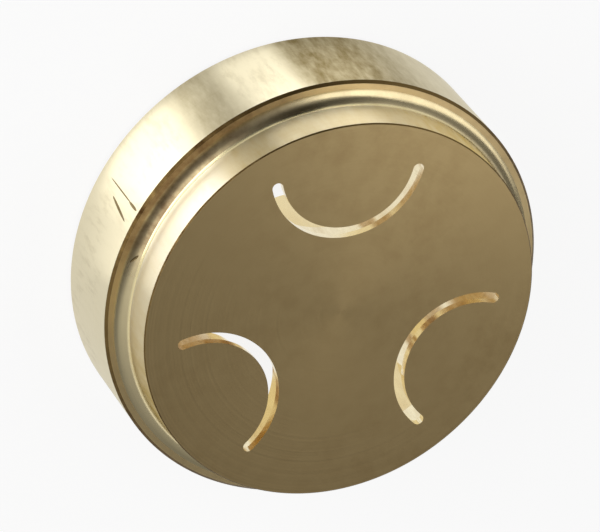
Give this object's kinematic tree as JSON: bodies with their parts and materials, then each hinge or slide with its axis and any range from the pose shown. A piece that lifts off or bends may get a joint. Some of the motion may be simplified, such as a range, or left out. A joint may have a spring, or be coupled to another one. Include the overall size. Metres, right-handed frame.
{
  "type": "pasta extrusion die",
  "caption": "Round stepped brass die with narrow arc-shaped slots through its front plate and a ring-shaped feed chamber behind, for extruding short curved pasta.",
  "frame": {"origin": "centre of the back face, on the surface that the die stands on", "axes": "+Z along the turning axis towards the slotted face; +Y through the middle of the first slot"},
  "size_m": [0.057, 0.057, 0.0188],
  "materials": {
    "die_brass": "turned brass: satin slotted face, smoother bright rim and nose wall, light handling scratches"
  },
  "bodies": {
    "root": {"die_body": "die_brass"}
  },
  "joints": []
}
